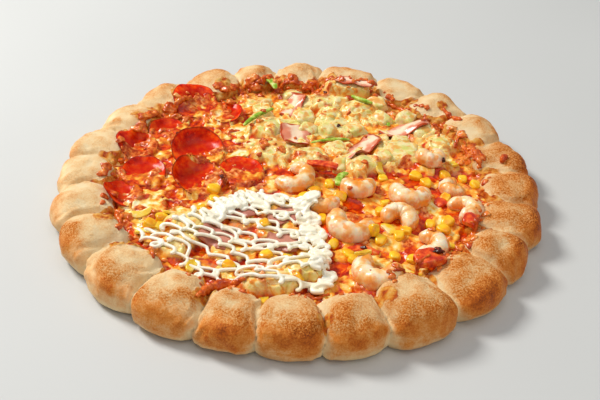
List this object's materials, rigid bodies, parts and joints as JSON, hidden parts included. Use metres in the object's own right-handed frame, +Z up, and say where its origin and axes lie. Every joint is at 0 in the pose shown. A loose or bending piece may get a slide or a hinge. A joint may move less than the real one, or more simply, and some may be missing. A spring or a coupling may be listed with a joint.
{
  "type": "pan pizza",
  "caption": "Round pan pizza with a rim of pinched dough buns and four quarters of toppings: pepperoni, potato and bacon, shrimp and corn, ham under mayonnaise.",
  "frame": {"origin": "on the flat underside, at the middle of the round rim", "axes": "+Z up out of the toppings, +Y towards the potato and bacon quarter, away from the mayonnaise"},
  "size_m": [0.3346, 0.335, 0.0307],
  "materials": {
    "dough": "baked, toasted golden brown on the crests, pale in the creases",
    "cheese": "melted, oily, with orange tomato sauce showing through",
    "pepperoni": "oily red",
    "shrimp": "moist pinkish white with orange bands",
    "potato": "soft pale yellow, browned on the edges",
    "bacon": "pink with red edges and pale fat",
    "ham": "moist dull pink",
    "green_pepper": "moist green with a pale side",
    "tomato": "moist red",
    "mayonnaise": "smooth glossy white",
    "corn": "glossy yellow",
    "crumbs": "oily browned meat"
  },
  "bodies": {
    "root": {"dough_crust": "dough", "melted_cheese": "cheese", "pepperoni_1": "pepperoni", "pepperoni_2": "pepperoni", "pepperoni_3": "pepperoni", "pepperoni_4": "pepperoni", "pepperoni_5": "pepperoni", "pepperoni_6": "pepperoni", "pepperoni_7": "pepperoni", "pepperoni_8": "pepperoni", "pepperoni_9": "pepperoni", "pepperoni_10": "pepperoni", "shrimp_1": "shrimp", "shrimp_2": "shrimp", "shrimp_3": "shrimp", "shrimp_4": "shrimp", "shrimp_5": "shrimp", "shrimp_6": "shrimp", "shrimp_7": "shrimp", "shrimp_8": "shrimp", "shrimp_9": "shrimp", "shrimp_10": "shrimp", "shrimp_11": "shrimp", "potato_1": "potato", "potato_2": "potato", "potato_3": "potato", "potato_4": "potato", "potato_5": "potato", "potato_6": "potato", "potato_7": "potato", "potato_8": "potato", "potato_9": "potato", "potato_10": "potato", "potato_11": "potato", "potato_12": "potato", "potato_13": "potato", "potato_14": "potato", "potato_15": "potato", "bacon_1": "bacon", "bacon_2": "bacon", "bacon_3": "bacon", "bacon_4": "bacon", "bacon_5": "bacon", "ham_1": "ham", "ham_2": "ham", "ham_3": "ham", "ham_4": "ham", "green_pepper_1": "green_pepper", "green_pepper_2": "green_pepper", "green_pepper_3": "green_pepper", "green_pepper_4": "green_pepper", "green_pepper_5": "green_pepper", "green_pepper_6": "green_pepper", "tomato_1": "tomato", "tomato_2": "tomato", "tomato_3": "tomato", "tomato_4": "tomato", "tomato_5": "tomato"}
  },
  "joints": []
}
